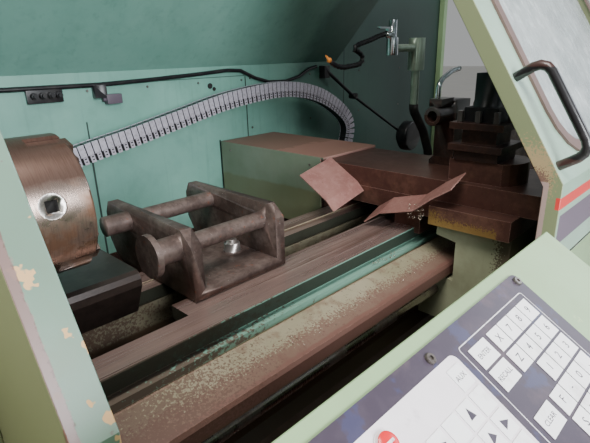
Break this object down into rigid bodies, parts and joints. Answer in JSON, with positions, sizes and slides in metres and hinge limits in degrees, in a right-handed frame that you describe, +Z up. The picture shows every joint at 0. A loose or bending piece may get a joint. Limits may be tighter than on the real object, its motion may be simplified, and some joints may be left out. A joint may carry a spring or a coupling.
{
  "type": "cnc turning lathe",
  "caption": "flat bed turning lathe with open working bay, three jaw chuck, carriage with tool post, tailstock, sliding door and operator console",
  "frame": {"origin": "on the floor under the middle of the machine's box", "axes": "X along the spindle axis towards the tailstock, -Y towards the operator, Z up"},
  "size_m": [3.55, 1.82, 1.9],
  "materials": {
    "green": "satin paint, worn",
    "olive": "satin paint, dusty",
    "teal": "satin paint",
    "cast": "painted casting",
    "steel": "turned, oily",
    "dark": "oily",
    "brown": "oily, rust film",
    "rust": "rust film",
    "black": "matte",
    "rubber": "matte",
    "chrome": "bright",
    "plate": "satin",
    "glass": "dusty pane",
    "orange": "moulded",
    "red": "moulded",
    "grey": "satin paint",
    "blue": "satin paint"
  },
  "bodies": {
    "machine": {"base": "brown", "bed": "cast", "headstock": "cast", "headstock_cover": "olive", "left_wall": "green", "rear_wall": "teal", "hood": "teal", "right_frame": "green", "top_rail": "green", "sill_rail": "steel", "front_panel": "green", "front_chip_tray": "rust", "rear_chip_tray": "rust", "right_guard": "green", "guard_pane": "glass", "console_housing": "green", "console_plate": "plate", "lifting_bracket": "dark", "main_motor": "blue", "drive_belt": "rubber", "screw_bearing": "dark", "carriage_motor": "blue", "cable_conduit": "chrome", "wall_conduit": "dark", "work_lamp": "black", "electrical_cabinet": "grey"},
    "carriage": {"saddle": "brown", "apron": "green", "rear_shield": "rust", "front_shield": "rust", "slide_cover": "olive", "coolant_stand": "green", "stand_pipe": "rubber", "coolant_valve": "chrome", "ball_hose": "black", "hose_nozzle": "orange"},
    "cross_slide": {"cross_slide": "brown", "bar_holder": "dark", "coolant_tube": "chrome"},
    "tool_post": {"tool_block": "brown", "index_cap": "black"},
    "slide_screw": {"slide_screw": "steel"},
    "carriage_screw": {"carriage_screw": "steel"},
    "spindle": {"spindle": "steel", "chuck_body": "steel"},
    "chuck_pinion": {"chuck_pinion": "steel"},
    "jaw_1": {"jaw_1": "steel"},
    "jaw_2": {"jaw_2": "steel"},
    "jaw_3": {"jaw_3": "steel"},
    "motor_pulley": {"motor_pulley": "steel"},
    "door": {"door_leaf": "green", "door_pane": "glass", "door_gasket": "rubber", "door_handle": "black"},
    "stop_button": {"stop_button": "red"},
    "valve_lever": {"valve_lever": "red"},
    "tailstock": {"tailstock": "dark"},
    "quill": {"quill": "steel"},
    "quill_handwheel": {"quill_handwheel": "steel"},
    "cabinet_door": {"cabinet_door": "grey"}
  },
  "joints": [
    {"name": "carriage_travel", "type": "slide", "parent": "machine", "child": "carriage", "axis": [1, 0, 0], "range_m": [-0.25, 0.12]},
    {"name": "cross_travel", "type": "slide", "parent": "carriage", "child": "cross_slide", "axis": [0, 1, 0], "range_m": [-0.02, 0.22]},
    {"name": "tool_index", "type": "hinge", "parent": "cross_slide", "child": "tool_post", "pos_m": [0.178, -0.204, 1.1018], "axis": [0, 0, 1], "continuous": true},
    {"name": "slide_screw_turn", "type": "hinge", "parent": "carriage", "child": "slide_screw", "pos_m": [0.234, 0.2, 0.945], "axis": [0, 1, 0], "continuous": true},
    {"name": "carriage_screw_turn", "type": "hinge", "parent": "machine", "child": "carriage_screw", "pos_m": [0.3, -0.135, 0.745], "axis": [1, 0, 0], "continuous": true},
    {"name": "spindle_turn", "type": "hinge", "parent": "machine", "child": "spindle", "pos_m": [-0.8, 0.088, 1.149], "axis": [1, 0, 0], "continuous": true},
    {"name": "jaw_1_travel", "type": "slide", "parent": "spindle", "child": "jaw_1", "axis": [0, -0.2924, 0.9563], "range_m": [-0.006, 0.006]},
    {"name": "jaw_2_travel", "type": "slide", "parent": "spindle", "child": "jaw_2", "axis": [0, -0.682, -0.7314], "range_m": [-0.006, 0.006]},
    {"name": "jaw_3_travel", "type": "slide", "parent": "spindle", "child": "jaw_3", "axis": [0, 0.9744, -0.225], "range_m": [-0.006, 0.006]},
    {"name": "chuck_key_turn", "type": "hinge", "parent": "spindle", "child": "chuck_pinion", "pos_m": [-0.807, -0.01431, 1.17262], "axis": [0, -0.9744, 0.225], "continuous": true},
    {"name": "motor_pulley_turn", "type": "hinge", "parent": "machine", "child": "motor_pulley", "pos_m": [-1.7, 0.46, 0.765], "axis": [1, 0, 0], "continuous": true},
    {"name": "door_travel", "type": "slide", "parent": "machine", "child": "door", "axis": [1, 0, 0], "range_m": [-0.905, 0]},
    {"name": "stop_press", "type": "slide", "parent": "machine", "child": "stop_button", "axis": [0, 0.518, -0.8554], "range_m": [0, 0.0012], "stiffness_N_per_m": 400, "springref_m": -0.005},
    {"name": "valve_turn", "type": "hinge", "parent": "carriage", "child": "valve_lever", "pos_m": [0.461, 0.292, 1.435], "axis": [0, 0, 1], "range_deg": [0, 90]},
    {"name": "tail_travel", "type": "slide", "parent": "machine", "child": "tailstock", "axis": [1, 0, 0], "range_m": [-0.05, 0.25]},
    {"name": "quill_travel", "type": "slide", "parent": "tailstock", "child": "quill", "axis": [1, 0, 0], "range_m": [-0.1, 0.03]},
    {"name": "quill_wheel_turn", "type": "hinge", "parent": "tailstock", "child": "quill_handwheel", "pos_m": [1.27, 0.088, 1.149], "axis": [1, 0, 0], "continuous": true},
    {"name": "cabinet_door_swing", "type": "hinge", "parent": "machine", "child": "cabinet_door", "pos_m": [-0.9543, 0.904, 0.9], "axis": [0, 0, 1], "range_deg": [-110, 0]}
  ],
  "couplings": [
    {"joint": "slide_screw_turn", "follows": "cross_travel", "rad_per_m": 628.32},
    {"joint": "carriage_screw_turn", "follows": "carriage_travel", "rad_per_m": 628.32},
    {"joint": "motor_pulley_turn", "follows": "spindle_turn", "ratio": 1.5714},
    {"joint": "jaw_2_travel", "follows": "jaw_1_travel", "ratio": 1},
    {"joint": "jaw_3_travel", "follows": "jaw_1_travel", "ratio": 1},
    {"joint": "chuck_key_turn", "follows": "jaw_1_travel", "rad_per_m": 1885},
    {"joint": "quill_wheel_turn", "follows": "quill_travel", "rad_per_m": -1256.6}
  ]
}
